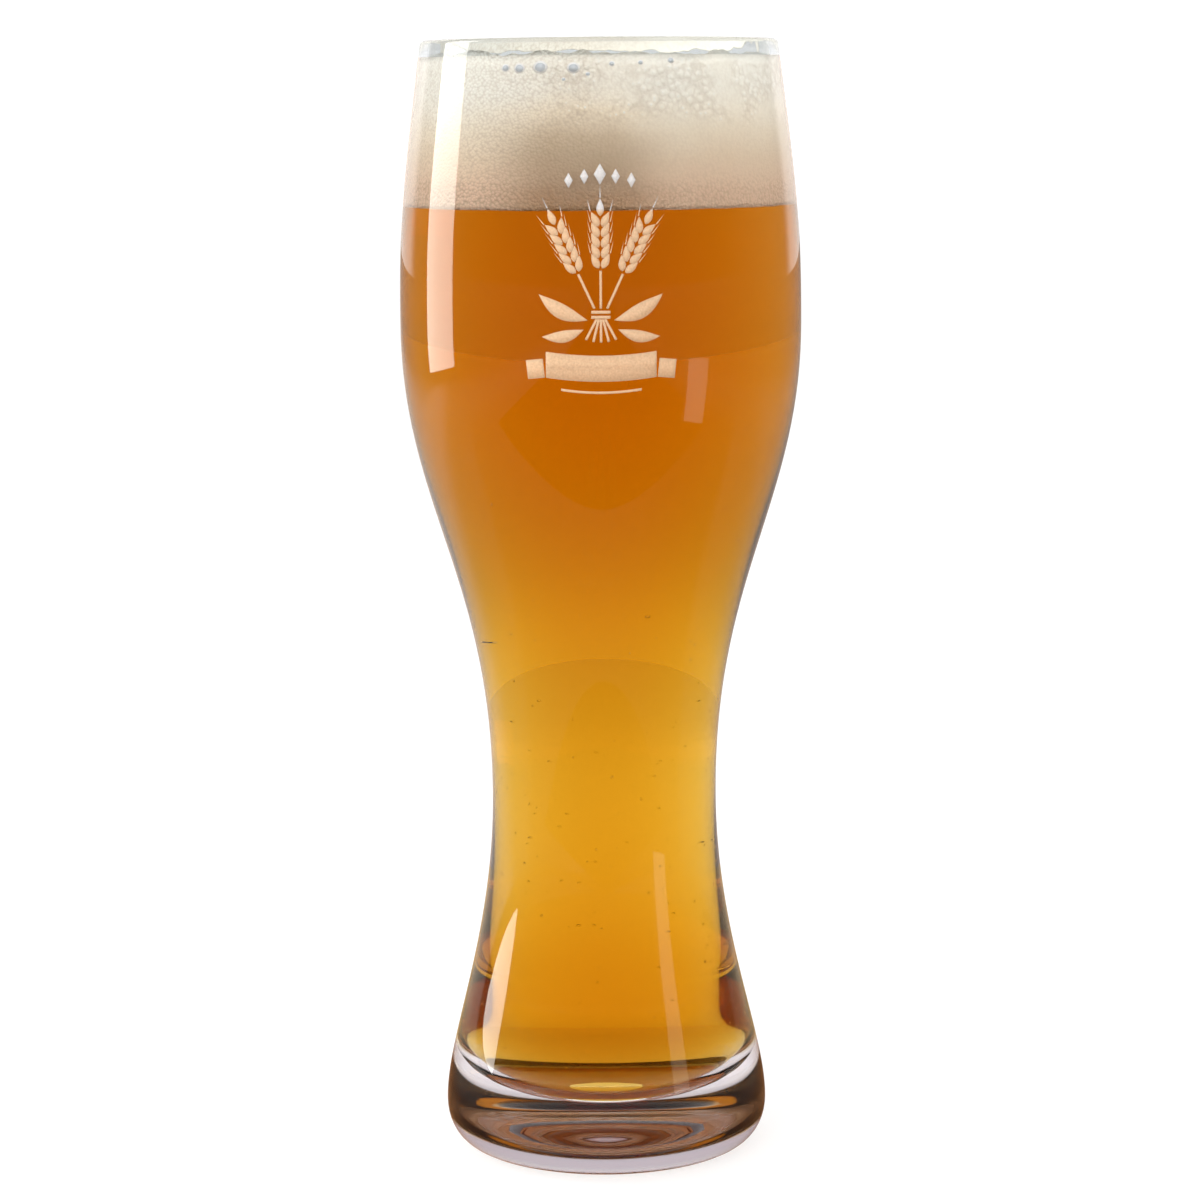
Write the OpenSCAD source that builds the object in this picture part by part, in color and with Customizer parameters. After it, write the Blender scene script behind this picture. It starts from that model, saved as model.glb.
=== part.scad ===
// Weizen glass: a tall wheat beer glass in one piece of glass, filled with
// beer under a head of foam. The beer and the foam are pieces of their own.
// Millimetres. +Z is up, and the origin is the middle of the standing ring.

/* [Glass outside] */
// Height from the table to the top of the lip
glass_h = 235; // [200:1:265]
// Outer radius of the wall where the lip begins
rim_r = 37.2; // [35.5:0.1:39.5]
// Inward lean of the wall at the lip, in degrees
rim_lean = 7.4; // [3:0.2:11]
// Outer radius of the bowl at its widest
bowl_r = 42; // [41:0.1:44]
// Distance from the lip down to the bowl's widest point
shoulder_h = 58.5; // [50:0.5:64]
// Outer radius of the waist
waist_r = 23.8; // [22.8:0.1:26]
// Height of the waist
waist_z = 76.5; // [70:0.5:84]
// Outer radius of the foot at its widest
foot_r = 34.3; // [32.5:0.1:37]
// Height of the foot's widest point
foot_z = 9.8; // [9:0.1:12]
// Outer radius of the flat ring that stands on the table
stand_r = 25.3; // [24:0.1:27]
// Width of that flat ring
stand_w = 1.5; // [1:0.1:3]

/* [Sweep of the outside] */
// How far the foot's underside runs flat before it turns up
foot_run = 5.9; // [3:0.1:7]
// How far the foot's side runs straight down from its widest point
foot_drop = 5.5; // [4:0.1:7]
// How far the foot's side runs straight up from its widest point
foot_rise = 13.5; // [8:0.5:18]
// How far the waist runs straight down
waist_fall = 31; // [24:1:36]
// How far the waist runs straight up
waist_rise = 47; // [38:1:54]
// How far the bowl runs straight down from its widest point
bowl_fall = 38; // [30:0.5:44]
// How far the bowl runs straight up from its widest point
bowl_rise = 21; // [14:1:26]
// How far the wall below the lip keeps the lip's lean
rim_fall = 30; // [18:1:32]

/* [Wall and cavity] */
// Thickness of the wall at the lip
rim_wall = 2; // [1.4:0.1:2.6]
// Thickness of the wall at the bowl's widest point
bowl_wall = 2.4; // [1.8:0.1:3.2]
// Radius of the cavity where it is narrowest
neck_r = 21.2; // [20:0.1:21.8]
// Height of the cavity's narrowest point
neck_z = 75; // [68:1:80]
// Radius of the cavity where it is widest near the floor
well_r = 27.2; // [26:0.1:28.4]
// Height of that point
well_z = 30; // [28:0.5:34]
// Height of the cavity's floor in the middle
floor_z = 11.2; // [10.4:0.1:14]

/* [Sweep of the cavity] */
// How far the neck runs straight up
neck_rise = 47; // [40:1:54]
// How far the neck runs straight down
neck_fall = 26; // [20:1:30]
// How far the well's side runs straight up
well_rise = 9; // [6:0.5:12]
// How far the well's side runs straight down
well_fall = 13.5; // [10:0.5:16]
// How far the floor runs flat from its middle
floor_run = 21; // [16:0.5:25]

/* [Underside] */
// Height of the hollow under the foot
punt_h = 1.8; // [1.2:0.1:3]
// How far that hollow runs flat from its middle
punt_run = 12; // [8:0.5:16]
// How far the hollow runs before it meets the standing ring
ring_run = 5; // [3:0.5:8]
// How far the hollow falls over that run
ring_fall = 0.9; // [0.4:0.1:1.2]

/* [Beer and foam] */
// Clear height from the middle of the foam up to the lip
head_space = 6; // [5:0.5:12]
// Height of the head of foam in its middle
foam_h = 28; // [20:0.5:32]
// How far the foam climbs above its middle at the wall
foam_climb = 3; // [1:0.1:4]
// Width of the strip along the wall in which it climbs
foam_climb_w = 4; // [2.5:0.5:8]
// Radius of the largest bubble that sits at the wall
bubble_r = 1.2; // [0.8:0.1:1.6]
// Clearance between the glass and what fills it
fill_gap = 0.05; // [0.03:0.01:0.15]

/* [Hidden] */
$fn = 128;
// Straight pieces in a long sweep of wall and in a tight turn
wall_steps = 34;
turn_steps = 12;
lip_r = rim_wall / 2;
bowl_z = glass_h - shoulder_h;
// Direction of the lip's outer face, from the middle of the lip
lip_out = [cos(rim_lean), sin(rim_lean)];
wall_up = [-sin(rim_lean), cos(rim_lean)];
lip_mid = [rim_r - lip_r * lip_out.x, glass_h - lip_r];
foam_z = glass_h - head_space;
beer_z = foam_z - foam_h;
// Angle round the glass and height above the foam's middle of each bubble
// at the wall, and its size as a share of the largest
bubbles = [[-118, 1.4, 0.8], [-113, 1.1, 0.7], [-108, 1.6, 1], [-98, 1.2, 0.75], [-74, 1, 0.6]];

// Point at t along the curve from a to b, with handles at c and d
function sweep_at(t, a, c, d, b) =
    pow(1 - t, 3) * a + 3 * pow(1 - t, 2) * t * c + 3 * (1 - t) * t * t * d + t * t * t * b;

// The curve from a to b that leaves a by the vector u and reaches b by v
function sweep(a, u, v, b, steps) = [for (i = [0:steps - 1]) sweep_at(i / steps, a, a + u, b - v, b)];

// Outside of the glass, from the standing ring up to the lip
function outside() =
    let (
        stand = [stand_r, 0],
        foot = [foot_r, foot_z],
        waist = [waist_r, waist_z],
        bowl = [bowl_r, bowl_z],
        rim = lip_mid + lip_r * lip_out
    )
    concat(
        sweep(stand, [foot_run, 0], [0, foot_drop], foot, turn_steps),
        sweep(foot, [0, foot_rise], [0, waist_fall], waist, wall_steps),
        sweep(waist, [0, waist_rise], [0, bowl_fall], bowl, wall_steps),
        sweep(bowl, [0, bowl_rise], rim_fall * wall_up, rim, wall_steps)
    );

// Round lip, from the outside over the top to the inside
function lip() =
    [
        for (i = [0:turn_steps - 1])
            let (a = rim_lean + 180 * i / turn_steps)
            lip_mid + lip_r * [cos(a), sin(a)]
    ];

// Wall of the cavity from the lip down to the middle of the floor, drawn
// in from the glass by gap
function inside(gap) =
    let (
        rim = lip_mid - (lip_r + gap) * lip_out,
        bowl = [bowl_r - bowl_wall - gap, bowl_z],
        neck = [neck_r - gap, neck_z],
        well = [well_r - gap, well_z],
        middle = [0, floor_z + gap]
    )
    concat(
        sweep(rim, -rim_fall * wall_up, [0, -bowl_rise], bowl, wall_steps),
        sweep(bowl, [0, -bowl_fall], [0, -neck_rise], neck, wall_steps),
        sweep(neck, [0, -neck_fall], [0, -well_rise], well, wall_steps),
        sweep(well, [0, -well_fall], [-floor_run, 0], middle, turn_steps),
        [middle]
    );

// Hollow under the foot, from its middle out to the standing ring
function underside() =
    let (ring = [stand_r - stand_w, 0])
    concat(sweep([0, punt_h], [punt_run, 0], [ring_run, -ring_fall], ring, turn_steps), [ring]);

// Radius of the cavity at height z
function cavity_r(z) =
    let (wall = inside(fill_gap))
    lookup(z, [for (i = [len(wall) - 1:-1:0]) [wall[i].y, wall[i].x]]);

module glass() {
    color([0.86, 0.9, 0.92, 0.35])
        rotate_extrude()
            polygon(concat(underside(), outside(), lip(), inside(0)));
}

// What fills the cavity, up to the lip
module filling() {
    rotate_extrude()
        polygon(concat([[0, lip_mid.y]], inside(fill_gap)));
}

module beer() {
    color([0.85, 0.52, 0.08, 0.7])
        intersection() {
            filling();
            cylinder(h = beer_z, r = bowl_r);
        }
}

// Space that the foam takes inside the cavity: it climbs where it meets the wall
module foam_space() {
    wall_r = cavity_r(foam_z);
    flat = [wall_r - foam_climb_w, foam_z];
    edge = [wall_r, foam_z + foam_climb];
    top = sweep(flat, [foam_climb_w / 2, 0], [0, foam_climb / 2], edge, turn_steps);
    rotate_extrude()
        polygon(concat([[0, beer_z], [0, foam_z]], top, [edge, [bowl_r, edge.y], [bowl_r, beer_z]]));
}

module foam_head() {
    color([0.93, 0.88, 0.78])
        difference() {
            intersection() {
                filling();
                foam_space();
            }
            for (b = bubbles)
                rotate([0, 0, b[0]])
                    translate([cavity_r(foam_z + b[1]), 0, foam_z + b[1]])
                        sphere(r = bubble_r * b[2], $fn = 24);
        }
}

glass();
beer();
foam_head();
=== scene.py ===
"""A tall wheat beer glass with a thick foot, the beer in it, its head of foam and a frosted engraving."""

import math
import random

import bmesh
import bpy
from mathutils import Matrix, Vector, noise
from mathutils.bvhtree import BVHTree


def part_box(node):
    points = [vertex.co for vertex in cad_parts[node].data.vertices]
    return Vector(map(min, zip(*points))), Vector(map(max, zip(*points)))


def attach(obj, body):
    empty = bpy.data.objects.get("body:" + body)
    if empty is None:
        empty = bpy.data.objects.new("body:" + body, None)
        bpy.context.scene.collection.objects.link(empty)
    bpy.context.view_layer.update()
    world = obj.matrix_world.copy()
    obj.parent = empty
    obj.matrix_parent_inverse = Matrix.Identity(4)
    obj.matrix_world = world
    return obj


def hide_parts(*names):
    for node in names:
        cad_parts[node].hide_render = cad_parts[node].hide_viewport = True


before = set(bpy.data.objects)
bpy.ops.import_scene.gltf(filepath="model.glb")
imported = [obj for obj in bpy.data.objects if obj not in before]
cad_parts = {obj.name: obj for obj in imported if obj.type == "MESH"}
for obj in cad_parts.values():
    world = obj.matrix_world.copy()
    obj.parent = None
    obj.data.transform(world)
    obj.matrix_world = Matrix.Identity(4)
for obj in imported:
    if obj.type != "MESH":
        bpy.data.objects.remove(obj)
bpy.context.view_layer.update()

MM = 0.001
MERGE = 1e-6
FULL_TURN = 2 * math.pi
LATHE_STEPS = 192
WHITE = (1, 1, 1, 1)
BLACK = (0, 0, 0, 1)

# Heights: the beer's surface, the foam's highest point, the floor of the cavity, the top of what the beer
# and the foam wet, the top of the thick foot and the top of the wall's flare above it
BEER_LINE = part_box("beer")[1].z
FOAM_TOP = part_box("foam_head")[1].z
CAVITY_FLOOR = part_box("beer")[0].z
WET_TOP = FOAM_TOP + MM / 2
FOOT_TOP = 22 * MM
FLARE_TOP = 62 * MM

# The ring under the foot that is painted with the beer's brown shadow: its highest point, inner radius and
# outer radius
SHADE_TOP = 2.5 * MM
SHADE_INNER = 7 * MM
SHADE_OUTER = 25 * MM

# Zones of the glass, in the order of their finishes
DRY, WET, FOOT, UNDERSIDE, WET_FLOOR, LIP, FLARE = range(7)

GLASS_IOR = 1.52
BEER_IOR = 1.34
BUBBLE_IOR = 1.33
# Softness of the painted sheen on glass that is seen at a slant
PAINTED_SHEEN_SPREAD = 0.3

# Colours of the foam from the beer up to its top, in its middle and at its sides: painted shade darkens it
# towards the beer and in the middle, painted light makes its sides paler
FOAM_SHADED_MIDDLE = (
    (0.02, (0.5, 0.3, 0.16)), (0.12, (0.55, 0.38, 0.24)), (0.4, (0.59, 0.45, 0.3)),
    (0.6, (0.69, 0.55, 0.38)), (0.85, (0.97, 0.85, 0.66)), (1, (0.99, 0.94, 0.82)),
)
FOAM_LIT_SIDES = (
    (0.05, (0.86, 0.62, 0.44)), (0.35, (0.88, 0.72, 0.53)),
    (0.65, (0.94, 0.84, 0.67)), (1, (0.99, 0.97, 0.87)),
)
# Height over which the foam climbs the wall
FOAM_CLIMB = 3 * MM

# Gas bubbles in the beer: how many, then the lowest, highest and most common height and the least,
# greatest and most common radius in millimetres, and their gap to the wall
BUBBLES = 220
BUBBLE_HEIGHTS = (16, 150, 40)
BUBBLE_RADII = (0.1, 0.32, 0.14)
BUBBLE_GAP = 0.2 * MM

# Bubbles at the wall of the foam: angle round the glass in degrees, height and radius in millimetres
WALL_BUBBLES = (
    (-120.5, 228.9, 0.8), (-115.6, 228.8, 1), (-108.6, 229, 1.25), (-98, 228.8, 1.1), (-86, 229.6, 0.5),
    (-77, 229.8, 0.45), (-67, 230.2, 0.6), (-101, 226.6, 0.35), (-93.5, 227.6, 0.4),
)
# Share of a bubble's radius and gap to the glass: its pale rim of painted highlight, then the grey film of
# painted shade in front of it
BUBBLE_DISCS = ((1, 0.03 * MM), (0.7, 0.015 * MM))
BUBBLE_SKIN = 0.01 * MM

# Thickness of the engraving's frosted film and its height over the wall
FILM = 0.02 * MM
FILM_LIFT = 0.05 * MM

TABLE_RADIUS = 6
# Where the table ends towards the camera in reflections and through the glass, but not far to the sides
TABLE_EDGE = -0.207
SIDE_SHIFT = 9
# Brightness of the room in front of the glass in reflections
DIM_ROOM = 0.015
# How much brighter the room is for what stands behind glass, to make up for the light that glass keeps
GLASS_LOSS = 2.6
BOUNCES = 14


class Value:
    """A shader socket that takes part in sums: the operators add Math nodes."""

    def __init__(self, finish, socket):
        self.finish = finish
        self.socket = socket

    def sum(self, operation, first, second):
        return self.finish.node("ShaderNodeMath", {"operation": operation}, {0: first, 1: second})

    def __add__(self, other):
        return self.sum("ADD", self, other)

    def __sub__(self, other):
        return self.sum("SUBTRACT", self, other)

    def __rsub__(self, other):
        return self.sum("SUBTRACT", other, self)

    def __mul__(self, other):
        return self.sum("MULTIPLY", self, other)

    def __gt__(self, other):
        return self.sum("GREATER_THAN", self, other)

    def size(self):
        return self.sum("ABSOLUTE", self, 0)

    def or_more(self, other):
        return self.sum("MAXIMUM", self, other)


class Finish:
    """The nodes of one material or of the world."""

    def __init__(self, owner):
        owner.use_nodes = True
        self.owner = owner
        self.tree = owner.node_tree
        self.tree.nodes.clear()

    def node(self, kind, settings=None, sockets=None, output=0):
        """Adds a node, sets it up, fills its sockets and gives back one of its outputs."""
        made = self.tree.nodes.new(kind)
        for name, value in (settings or {}).items():
            if name == "stops":
                self.set_stops(made.color_ramp, value)
            else:
                setattr(made, name, value)
        for name, value in (sockets or {}).items():
            if isinstance(value, Value):
                self.tree.links.new(value.socket, made.inputs[name])
            else:
                made.inputs[name].default_value = value
        return Value(self, made.outputs[output]) if len(made.outputs) else None

    def set_stops(self, ramp, stops):
        while len(ramp.elements) < len(stops):
            ramp.elements.new(1)
        for element, (place, colour) in zip(ramp.elements, stops):
            element.position = place
            element.color = (*colour, 1)

    def point(self):
        """The point of the surface in metres."""
        return self.node("ShaderNodeTexCoord", None, None, "Object")

    def part(self, point, axis):
        """The X, Y or Z of a point or a direction."""
        return self.node("ShaderNodeSeparateXYZ", None, {0: point}, axis)

    def place(self, axis):
        """The X, Y or Z of the surface's point in metres."""
        return self.part(self.point(), axis)

    def fade(self, value, low, high, start=0, end=1):
        """A soft step from start at low to end at high."""
        return self.node(
            "ShaderNodeMapRange", {"interpolation_type": "SMOOTHSTEP"},
            {"Value": value, "From Min": low, "From Max": high, "To Min": start, "To Max": end},
        )

    def blend(self, share, first, second):
        """Mixes two colours."""
        return self.node(
            "ShaderNodeMix", {"data_type": "RGBA"}, {"Factor": share, 6: first, 7: second}, 2
        )

    def mix(self, share, first, second):
        """Mixes two numbers."""
        return self.node("ShaderNodeMix", None, {"Factor": share, "A": first, "B": second})

    def ramp(self, share, stops):
        """The colour at share along the stops."""
        return self.node("ShaderNodeValToRGB", {"stops": stops}, {"Fac": share}, "Color")

    def clouds(self, scale, detail, roughness=0.5):
        """Cloudy noise from 0 to 1, finer with a larger scale."""
        sockets = {"Vector": self.point(), "Scale": scale, "Detail": detail, "Roughness": roughness}
        return self.node("ShaderNodeTexNoise", None, sockets, "Fac")

    def cells(self, scale):
        """Distance from the middle of the nearest cell, with about scale cells to a metre."""
        return self.node("ShaderNodeTexVoronoi", None, {"Vector": self.point(), "Scale": scale}, "Distance")

    def surface(self, sockets, volume=None):
        """Closes the material with one principled surface."""
        ends = {"Surface": self.node("ShaderNodeBsdfPrincipled", None, sockets)}
        if volume:
            ends["Volume"] = volume
        self.node("ShaderNodeOutputMaterial", None, ends)


def material(name):
    return Finish(bpy.data.materials.new(name))


def plain(name, colour, roughness):
    finish = material(name)
    finish.surface({"Base Color": (*colour, 1), "Roughness": roughness})
    return finish


def section(node):
    """The outline of a turned CAD node on the side towards +X, as a bmesh of edges."""
    bm = bmesh.new()
    bm.from_mesh(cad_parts[node].data)
    bmesh.ops.remove_doubles(bm, verts=bm.verts, dist=MERGE)
    everything = bm.verts[:] + bm.edges[:] + bm.faces[:]
    bmesh.ops.bisect_plane(
        bm, geom=everything, plane_co=(0, 0, 0), plane_no=(0, 1, 0), clear_inner=True, clear_outer=True
    )
    bmesh.ops.bisect_plane(
        bm, geom=bm.verts[:] + bm.edges[:], plane_co=(0, 0, 0), plane_no=(1, 0, 0), clear_inner=True
    )
    bmesh.ops.remove_doubles(bm, verts=bm.verts, dist=MERGE)
    return bm


def turned(node):
    """A turned CAD node in finer steps: its outline is spun once round the axis and its poles are closed."""
    bm = section(node)
    bmesh.ops.spin(
        bm, geom=bm.verts[:] + bm.edges[:], cent=(0, 0, 0), axis=(0, 0, 1), dvec=(0, 0, 0),
        angle=FULL_TURN, steps=LATHE_STEPS, use_merge=True,
    )
    bmesh.ops.remove_doubles(bm, verts=bm.verts, dist=MERGE)
    bmesh.ops.recalc_face_normals(bm, faces=bm.faces)
    return bm


def walls(node):
    """A turned CAD node as a tree that rays can be cast at."""
    bm = turned(node)
    tree = BVHTree.FromBMesh(bm)
    bm.free()
    return tree


def add_object(name, data):
    """Makes an object of a mesh, a lamp or a camera and puts it in the scene."""
    made = bpy.data.objects.new(name, data)
    bpy.context.scene.collection.objects.link(made)
    return made


def add_mesh(name, bm, finishes):
    """Makes an object of a bmesh, which is used up, and gives it its finishes."""
    mesh = bpy.data.meshes.new(name)
    bm.to_mesh(mesh)
    bm.free()
    for finish in finishes:
        mesh.materials.append(finish.owner)
    return add_object(name, mesh)


def piece(name, bm, finishes, nodes=()):
    """Makes a smooth piece that rides on the body, has its finishes and replaces the nodes."""
    for face in bm.faces:
        face.smooth = True
    made = add_mesh(name, bm, finishes)
    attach(made, "root")
    if nodes:
        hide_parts(*nodes)
    return made


def make_camera():
    """A long lens just under the lip's height, looking a little down at the foot."""
    distance, height, side = 0.74, 0.222, -0.0006
    pitch, roll = math.radians(8.03), math.radians(-0.43)
    data = bpy.data.cameras.new("camera")
    data.sensor_width = 36
    data.lens = 105.7
    camera = add_object("camera", data)
    camera.matrix_world = (
        Matrix.Translation((side, -distance, height))
        @ Matrix.Rotation(math.pi / 2 - pitch, 4, "X")
        @ Matrix.Rotation(roll, 4, "Z")
    )
    bpy.context.scene.camera = camera


def clear_glass(name, ior, clearness=1, tint=(1, 1, 1), painted_sheen=0, painted_sheen_tint=(1, 0.75, 0.6)):
    """Sharp glass. The sheen is painted: a faint tinted reflection that shows only where the wall is seen at
    a slant.
    """
    finish = material(name)
    finish.surface({
        "Base Color": (*tint, 1), "Roughness": 0, "IOR": ior, "Transmission Weight": clearness,
        "Sheen Weight": painted_sheen, "Sheen Roughness": PAINTED_SHEEN_SPREAD, "Sheen Tint": (*painted_sheen_tint, 1),
    })
    return finish


def foot_glass():
    """The foot's side: tinted a lilac grey near the table as painted shade, with a brown painted sheen at a
    slant.
    """
    finish = material("dry_foot")
    low = finish.fade(finish.place("Z"), 20 * MM, 8 * MM)
    finish.surface({
        "Base Color": finish.blend(low, (1, 0.99, 0.98, 1), (0.6, 0.53, 0.58, 1)),
        "Roughness": 0, "IOR": GLASS_IOR, "Transmission Weight": 0.992,
        "Sheen Weight": 0.6, "Sheen Roughness": PAINTED_SHEEN_SPREAD, "Sheen Tint": (0.75, 0.33, 0.13, 1),
    })
    return finish


def glass_zone(face):
    """The zone of the glass that a face is in, from its height, its reach and the way it faces."""
    middle = face.calc_center_median()
    outwards = Vector((middle.x, middle.y, 0))
    faces_in = face.normal.dot(outwards) < 0 or face.normal.z > 0.9
    if faces_in and CAVITY_FLOOR - MM < middle.z < WET_TOP:
        return WET_FLOOR if face.normal.z > 0.7 else WET
    if middle.z < SHADE_TOP and SHADE_INNER < outwards.length < SHADE_OUTER:
        return UNDERSIDE
    if middle.z < FOOT_TOP:
        return FOOT
    if middle.z < FLARE_TOP:
        return FLARE
    return LIP if middle.z > WET_TOP else DRY


def make_glass():
    """The glass: its wetted inside bends light less, because the beer or the foam is behind it.

    Its dry outside has a faint painted sheen at a slant, and the underside is painted with the brown of the
    beer's own shadow on the table, a painted shadow that gives the foot its brown.
    """
    bm = turned("glass")
    for face in bm.faces:
        face.material_index = glass_zone(face)
    wet_ior = GLASS_IOR / BEER_IOR
    finishes = [
        # The dry bowl and the flare get a painted sheen, pale on the bowl and amber on the flare
        clear_glass("dry_glass", GLASS_IOR, painted_sheen=0.8),
        clear_glass("wet_glass", wet_ior),
        foot_glass(),
        # The underside's brown is a painted shadow, the beer's shadow on the table
        clear_glass("underside", GLASS_IOR, 0.15, (0.26, 0.07, 0.015)),
        clear_glass("wet_floor", wet_ior, 0.9, (0.97, 0.92, 0.8)),
        # The lip's grey tint is painted shade along the rim
        clear_glass("lip", GLASS_IOR, 1, (0.8, 0.82, 0.83)),
        clear_glass("flare", GLASS_IOR, painted_sheen=1, painted_sheen_tint=(1, 0.68, 0.34)),
    ]
    return piece("clear_glass", bm, finishes, ["glass"])


def make_beer():
    """The beer: its surface bends nothing, because the glass does that for it, and its body is amber."""
    finish = material("beer")
    amber = {"Color": (0.914, 0.738, 0.01, 1), "Density": 110}
    finish.surface(
        {"Base Color": WHITE, "Roughness": 0, "IOR": 1, "Transmission Weight": 1},
        finish.node("ShaderNodeVolumeAbsorption", None, amber),
    )
    return piece("wheat_beer", turned("beer"), [finish], ["beer"])


def foam_painted_shading(finish, height, across):
    """Painted shade and light: tan over the beer and cream above it, paler at the sides, and a little cloudy.
    """
    depth = finish.fade(height, BEER_LINE - MM, FOAM_TOP - 4 * MM)
    clouded = depth + (finish.clouds(60, 3, 0.6) - 0.5) * 0.25
    at_left = finish.fade(across, -9 * MM, -26 * MM)
    at_right = finish.fade(across, MM, 17 * MM, 0, 0.75)
    return finish.blend(
        at_left + at_right, finish.ramp(clouded, FOAM_SHADED_MIDDLE), finish.ramp(clouded, FOAM_LIT_SIDES)
    )


def foam_finish():
    """Cream froth: fine beads low down and to the left, and coarse bubbles near the top, with painted shade
    and glints.
    """
    finish = material("foam")
    height = finish.place("Z")
    across = finish.place("X")
    beads = finish.cells(1700)
    froth = finish.cells(760)
    beaded = finish.fade(across, 12 * MM, -12 * MM, 0.35, 1) + finish.fade(height, 209 * MM, 203 * MM)
    frothy = (
        finish.fade(height, 216 * MM, 221 * MM) * finish.fade(height, 232 * MM, 229 * MM)
        * finish.fade(finish.clouds(110, 2), 0.36, 0.56) * finish.fade(across, -14 * MM, -8 * MM)
    )
    # Painted shade darkens the pits between beads and the rims of coarse bubbles; painted glints lighten
    # their middles
    pits = finish.fade(beads, 0.35, 0.8) * beaded
    rims = finish.fade(froth, 0.36, 0.6) * frothy
    glints = finish.fade(froth, 0.24, 0.08) * frothy
    shaded = finish.blend(pits * 0.22 + rims * 0.16, foam_painted_shading(finish, height, across), (0.4, 0.27, 0.16, 1))
    colour = finish.blend(glints, shaded, (1, 0.98, 0.9, 1))
    relief = (1 - beads) * beaded * 0.5 + (1 - froth) * frothy
    bump = finish.node("ShaderNodeBump", None, {"Strength": 0.6, "Distance": MM / 2, "Height": relief})
    finish.surface({"Base Color": colour, "Roughness": 0.55, "Normal": bump})
    return finish


def waver(around, rate, seed):
    """Smooth noise between -1 and 1 in the direction around. A higher rate has more waves to the turn."""
    return noise.noise((*(rate * around), seed))


def make_foam():
    """The head of foam: its underside is wavy, and its climb up the wall is ragged and leans in."""
    bm = turned("foam_head")
    for v in bm.verts:
        around = v.co.xy.normalized()
        if v.co.z < BEER_LINE + MM / 2:
            v.co.z -= (0.15 + 0.12 * waver(around, 9, 0)) * MM
        climb = (v.co.z - FOAM_TOP) / FOAM_CLIMB + 1
        if climb > 0:
            ragged = 0.7 + 1.1 * waver(around, 5, 3) + 0.5 * waver(around, 16, 7)
            lift = climb * ragged * MM
            v.co.z += lift
            v.co.xy -= max(lift, 0) * 0.16 * around
    return piece("foam", bm, [foam_finish()], ["foam_head"])


def blade(bm, place, length, width, swell, rows=8, bow=0):
    """Adds a flat upright strip that starts at the origin of place and is as wide as swell says.

    Length, width and bow are in millimetres. Bow is how far the middle of the strip is pushed aside.
    """
    for v in bmesh.ops.create_grid(bm, x_segments=1, y_segments=rows, size=0.5)["verts"]:
        along = v.co.y + 0.5
        across = v.co.x * width * swell(along) + 4 * bow * along * (1 - along)
        v.co = place @ Vector((across * MM, 0, along * length * MM))


def at(x, z, lean=0):
    """The place x, z in millimetres on the front, turned by lean degrees from upright to the right."""
    return Matrix.Translation((x * MM, 0, z * MM)) @ Matrix.Rotation(math.radians(lean), 4, "Y")


def full_width(along):
    return 1


def pointed(along):
    return math.sin(math.pi * along)


def tapered(along):
    return 1 - along


def grain_shape(along):
    return math.sin(math.pi * along ** 0.75)


def lozenge_shape(along):
    return 1 - abs(2 * along - 1)


def draw_grain(bm, place, length=3.3):
    blade(bm, place, length, 1.5, grain_shape)


def draw_awn(bm, place):
    blade(bm, place, 2.6, 0.25, tapered)


def draw_ear(bm, place):
    """A stalk with five pairs of grains and awns, and one more of each at its tip."""
    first, spacing = 7.9, 2.05
    blade(bm, place, 7.5, 0.5, full_width)
    for pair in range(5):
        foot = first + spacing * pair
        for side in (-1, 1):
            draw_grain(bm, place @ at(side * 0.3, foot, side * 27))
            draw_awn(bm, place @ at(side * 1.95, foot + 3, side * 14))
    draw_grain(bm, place @ at(0, 18.2), 3.4)
    draw_awn(bm, place @ at(0, 21.8))


def draw_sheaf(bm):
    """Three ears whose stalks spread out again below a double tie."""
    tie, below_tie, above_tie = 180, 179.6, 181.7
    for lean in (-25, 0, 25):
        draw_ear(bm, at(0.05 * lean, above_tie, lean))
    for lean in (-28, -14, 0, 14, 28):
        blade(bm, at(-0.03 * lean, below_tie, 180 + lean), 4.6, 0.5, full_width)
    for height in (tie, tie + 1):
        blade(bm, at(-1.9, height, 90), 3.8, 0.6, full_width)


def draw_leaves(bm, side):
    """An upper and a lower leaf on one side of the sheaf: side is -1 on the left and 1 on the right."""
    blade(bm, at(side * 2.6, 179.4, side * 62), 11, 3, pointed, 12, side * 0.9)
    blade(bm, at(side * 3.4, 177.6, side * 100), 8.5, 2.4, pointed, 10, side * 0.7)


def draw_lozenges(bm):
    """A row of five in an arch, the middle one larger."""
    height, spacing, drop = 206.4, 3.1, 0.25
    for side in (-1, 1):
        for step in (1, 2):
            blade(bm, at(side * spacing * step, height - drop * step * step), 3, 1.7, lozenge_shape, 2)
    blade(bm, at(0, 206), 4.2, 2.4, lozenge_shape, 2)


def draw_ribbon(bm):
    """A plain bowed ribbon with a tail at each end and a thin line below it."""
    for side in (-1, 1):
        blade(bm, at(side * 11.4, 169.9, side * 96), 3.4, 3.8, full_width, 4)
    blade(bm, at(-11, 170.6, 90), 22, 5.2, full_width, 22, 0.8)
    blade(bm, at(-8, 165.6, 90), 16, 0.5, full_width, 16, 0.6)


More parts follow.
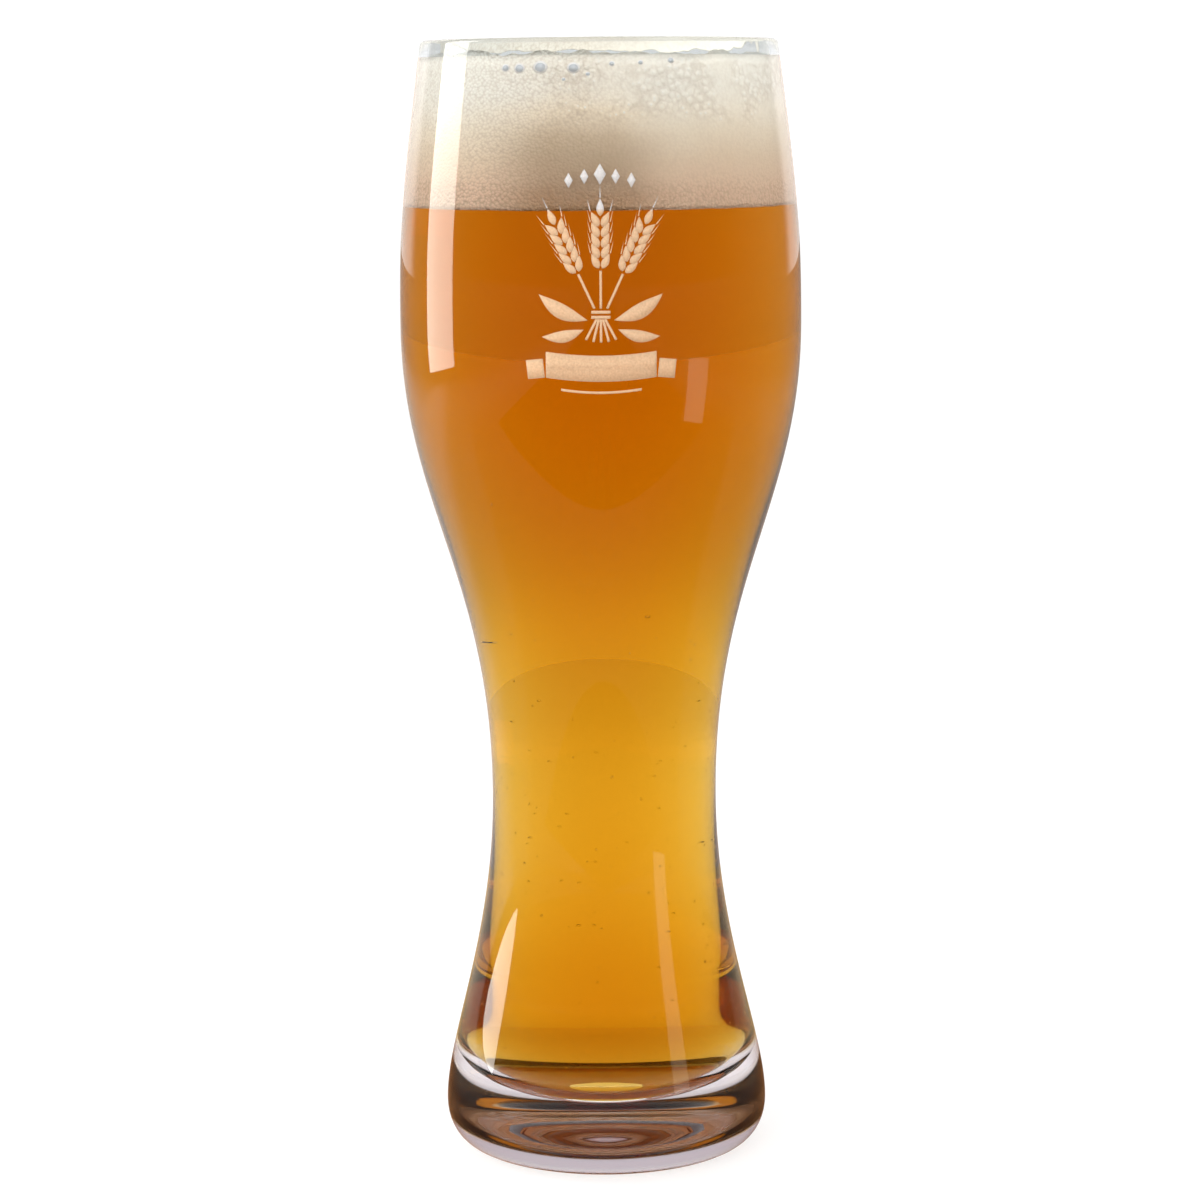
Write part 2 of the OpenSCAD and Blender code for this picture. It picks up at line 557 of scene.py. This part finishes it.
def make_engraving():
    """A tied sheaf of wheat between leaves, as a thin frosted film just outside the wall."""
    finish = material("frosting")
    # Below the beer line the frosting is painted amber: painted light from the beer behind it
    over_foam = finish.fade(finish.place("Z"), BEER_LINE - MM / 2, BEER_LINE + MM / 2)
    colour = finish.blend(over_foam, (0.97, 0.72, 0.46, 1), (0.97, 0.95, 0.95, 1))
    cover = (finish.clouds(2500, 2) - 0.5) * 0.3 + 0.5
    finish.surface({"Base Color": colour, "Roughness": 0.7, "Alpha": cover})
    bm = bmesh.new()
    draw_sheaf(bm)
    for side in (-1, 1):
        draw_leaves(bm, side)
    draw_lozenges(bm)
    draw_ribbon(bm)
    bmesh.ops.remove_doubles(bm, verts=bm.verts, dist=MERGE)
    front = walls("glass")
    for v in bm.verts:
        hit, normal = front.ray_cast(Vector((v.co.x, -0.1, v.co.z)), Vector((0, 1, 0)))[:2]
        v.co = hit + normal * FILM_LIFT
    bmesh.ops.solidify(bm, geom=bm.faces[:], thickness=FILM)
    bmesh.ops.recalc_face_normals(bm, faces=bm.faces)
    return piece("engraving", bm, [finish])


def away_from_axis(angle):
    """The level direction at an angle round the glass, in radians from +X."""
    return Vector((math.cos(angle), math.sin(angle), 0))


def wall_point(tree, height, outwards):
    """Where a level ray from the glass's axis meets the tree."""
    return tree.ray_cast(Vector((0, 0, height)), outwards)[0]


def make_bubbles():
    """Fine gas bubbles that cling to the wall low in the beer."""
    side = walls("beer")
    chance = random.Random(11)
    bm = bmesh.new()
    for _ in range(BUBBLES):
        height = chance.triangular(*BUBBLE_HEIGHTS) * MM
        outwards = away_from_axis(chance.uniform(0, FULL_TURN))
        radius = chance.triangular(*BUBBLE_RADII) * MM
        place = Matrix.Translation(wall_point(side, height, outwards) - outwards * (radius + BUBBLE_GAP))
        bmesh.ops.create_uvsphere(bm, u_segments=8, v_segments=6, radius=radius, matrix=place)
    return piece("beer_bubbles", bm, [clear_glass("bubble", BUBBLE_IOR)])


def make_wall_bubbles():
    """The large bubbles between the foam and the wall: white rims of painted highlight round thin grey films
    of painted shade.
    """
    inside = walls("glass")
    bm = bmesh.new()
    for angle, height, radius in WALL_BUBBLES:
        outwards = away_from_axis(math.radians(angle))
        upright = outwards.to_track_quat("Z", "Y").to_matrix().to_4x4()
        place = Matrix.Translation(30 * MM * outwards + Vector((0, 0, height * MM))) @ upright
        for share, gap in BUBBLE_DISCS:
            disc = bmesh.ops.create_circle(
                bm, cap_ends=True, cap_tris=True, segments=20, radius=radius * share * MM, matrix=place
            )["verts"]
            for v in disc:
                way = Vector((v.co.x, v.co.y, 0)).normalized()
                v.co = wall_point(inside, v.co.z, way) - gap * way
            for face in {face for v in disc for face in v.link_faces}:
                face.material_index = share < 1
    bmesh.ops.solidify(bm, geom=bm.faces[:], thickness=BUBBLE_SKIN)
    bmesh.ops.recalc_face_normals(bm, faces=bm.faces)
    # The rims are painted highlight and the films painted shade
    finishes = [plain("bubble_rim_highlight", (0.98, 0.96, 0.92), 0.4), plain("bubble_film_shade", (0.66, 0.7, 0.73), 0.15)]
    return piece("wall_bubbles", bm, finishes)


def rays(finish):
    """Marks of the rays that come from the camera, through glass, and off a shiny face."""
    path = "ShaderNodeLightPath"
    seen = finish.node(path, None, None, "Is Camera Ray")
    through = finish.node(path, None, None, "Is Transmission Ray")
    mirrored = finish.node(path, None, None, "Is Glossy Ray") * (1 - through)
    return seen, through, mirrored


def table_finish():
    """White to the camera, with the glass's soft shadow.

    Only reflections and the view through the glass show the rest: the beer's brown shadow, painted before and
    under the foot, and the dark beyond the table's front edge. Distances are in metres, and depth grows
    away from the camera.
    """
    finish = material("white_table")
    seen, through, mirrored = rays(finish)
    depth = finish.place("Y")
    across = finish.place("X")
    side = across.size()
    aside = finish.fade(side, 0.4, 0.7)
    on_table = seen.or_more(depth + aside * SIDE_SHIFT > TABLE_EDGE)
    in_front = finish.fade(depth, 0, -0.04) * (1 - aside)

    # In reflections the table is painted dimmer near the glass, to its right and far to the sides: painted
    # shade
    nearby = finish.fade(side, 0.6, 1, 1, 0.05) * finish.fade(across, 0, 0.25, 1, 0.4)
    behind = finish.fade(depth, 0.08, 0.24, 0.28, 1) * nearby
    bright = on_table * (1 - mirrored * (1 - behind))
    # A painted shadow: the beer's brown shadow on the table before the foot, in reflections and through the
    # glass
    at_foot = finish.fade(depth, -0.14, -0.07) * finish.fade(side, 0.06, 0.12, 1, 0)
    shadow = mirrored * at_foot + through * in_front
    paint_and_shadow = finish.blend(shadow, (0.3, 0.3, 0.3, 1), (0.06, 0.015, 0.003, 1))

    # Through the glass the table glows a painted brown shadow before the foot and in the disc under it, whose
    # soft edge runs from 26 to 22 mm, given by its square
    glow_and_shadow = finish.blend(in_front, WHITE, (0.12, 0.03, 0.008, 1))
    under = finish.fade(depth * depth + across * across, 0.0007, 0.0005)
    glow_and_shadow = finish.blend(under, glow_and_shadow, (0.16, 0.04, 0.01, 1))
    far = finish.fade(depth, 0.1, 1, 0.86, 0.74)
    finish.surface({
        "Base Color": finish.blend(bright, BLACK, paint_and_shadow), "Roughness": 0.9, "Specular IOR Level": 0,
        "Emission Color": finish.blend(seen, glow_and_shadow, WHITE),
        "Emission Strength": seen * 0.75 + through * on_table * far,
    })
    return finish


def make_floor():
    bm = bmesh.new()
    bmesh.ops.create_circle(bm, cap_ends=True, segments=96, radius=TABLE_RADIUS)
    add_mesh("floor", bm, [table_finish()])


def softbox(name, azimuth, distance, width, bottom, top, radiance, colour=(1, 1, 1)):
    """An upright rectangular light that faces the glass. Azimuth 0 is the camera's side."""
    height = top - bottom
    data = bpy.data.lights.new(name, "AREA")
    data.shape = "RECTANGLE"
    data.size, data.size_y = width, height
    data.energy = radiance * math.pi * width * height
    data.color = colour
    lamp = add_object(name, data)
    turn = math.radians(azimuth)
    away = Vector((math.sin(turn), -math.cos(turn), 0))
    place = distance * away + Vector((0, 0, (bottom + top) / 2))
    lamp.matrix_world = Matrix.Translation(place) @ away.to_track_quat("Z", "Y").to_matrix().to_4x4()
    return lamp


def make_room():
    """A room that is white behind the glass, and dimmer above and behind the camera.

    The camera sees it as white, and what isn't glass is lit by it evenly.
    """
    world = bpy.data.worlds.new("studio")
    bpy.context.scene.world = world
    finish = Finish(world)
    direction = finish.node("ShaderNodeTexCoord", None, None, "Generated")
    depth = finish.part(direction, "Y")
    height = finish.part(direction, "Z")
    seen, through, mirrored = rays(finish)
    scattered = finish.node("ShaderNodeLightPath", None, None, "Diffuse Depth") > 0.5
    warm = finish.fade(depth, 0.15, -0.25) * through * (1 - scattered)
    tone = finish.blend(warm, WHITE, (1, 0.7, 0.35, 1))
    backdrop = finish.fade(depth, -0.3, 0.2, 0.7, 1.15) * finish.fade(height, 0.02, 0.2, 1, 0.87)
    reflected = finish.fade(depth, 0.66, 0.8, DIM_ROOM, 1)
    on_glass = finish.mix(mirrored, backdrop, reflected)
    on_the_rest = through * (GLASS_LOSS - 1) + 1
    strength = seen.or_more(finish.mix(scattered, on_glass, on_the_rest))
    light = finish.node("ShaderNodeBackground", None, {"Color": tone, "Strength": strength})
    finish.node("ShaderNodeOutputWorld", None, {"Surface": light})


def make_lamps():
    """A tall strip on the left and a small card on the right that show in the glass, and a soft fill."""
    strip = softbox("left_strip", -103, 0.9, 0.38, 0.03, 0.9, 6, (1, 0.99, 0.92))
    strip.visible_transmission = False
    softbox("right_card", 54, 0.35, 0.075, 0.035, 0.125, 1.3, (1, 0.95, 0.75))
    fill = softbox("front_fill", -20, 1.5, 1, 0.1, 1.1, 5.2)
    fill.visible_glossy = False
    fill.visible_transmission = False


def set_bounces():
    """Light crosses many faces of clear glass on its way through the foot."""
    cycles = bpy.context.scene.cycles
    cycles.max_bounces = BOUNCES
    cycles.transmission_bounces = BOUNCES
    cycles.glossy_bounces = BOUNCES


bpy.context.scene.view_settings.view_transform = "Standard"
make_camera()
make_glass()
make_beer()
make_bubbles()
make_foam()
make_wall_bubbles()
make_engraving()
make_floor()
make_room()
make_lamps()
set_bounces()
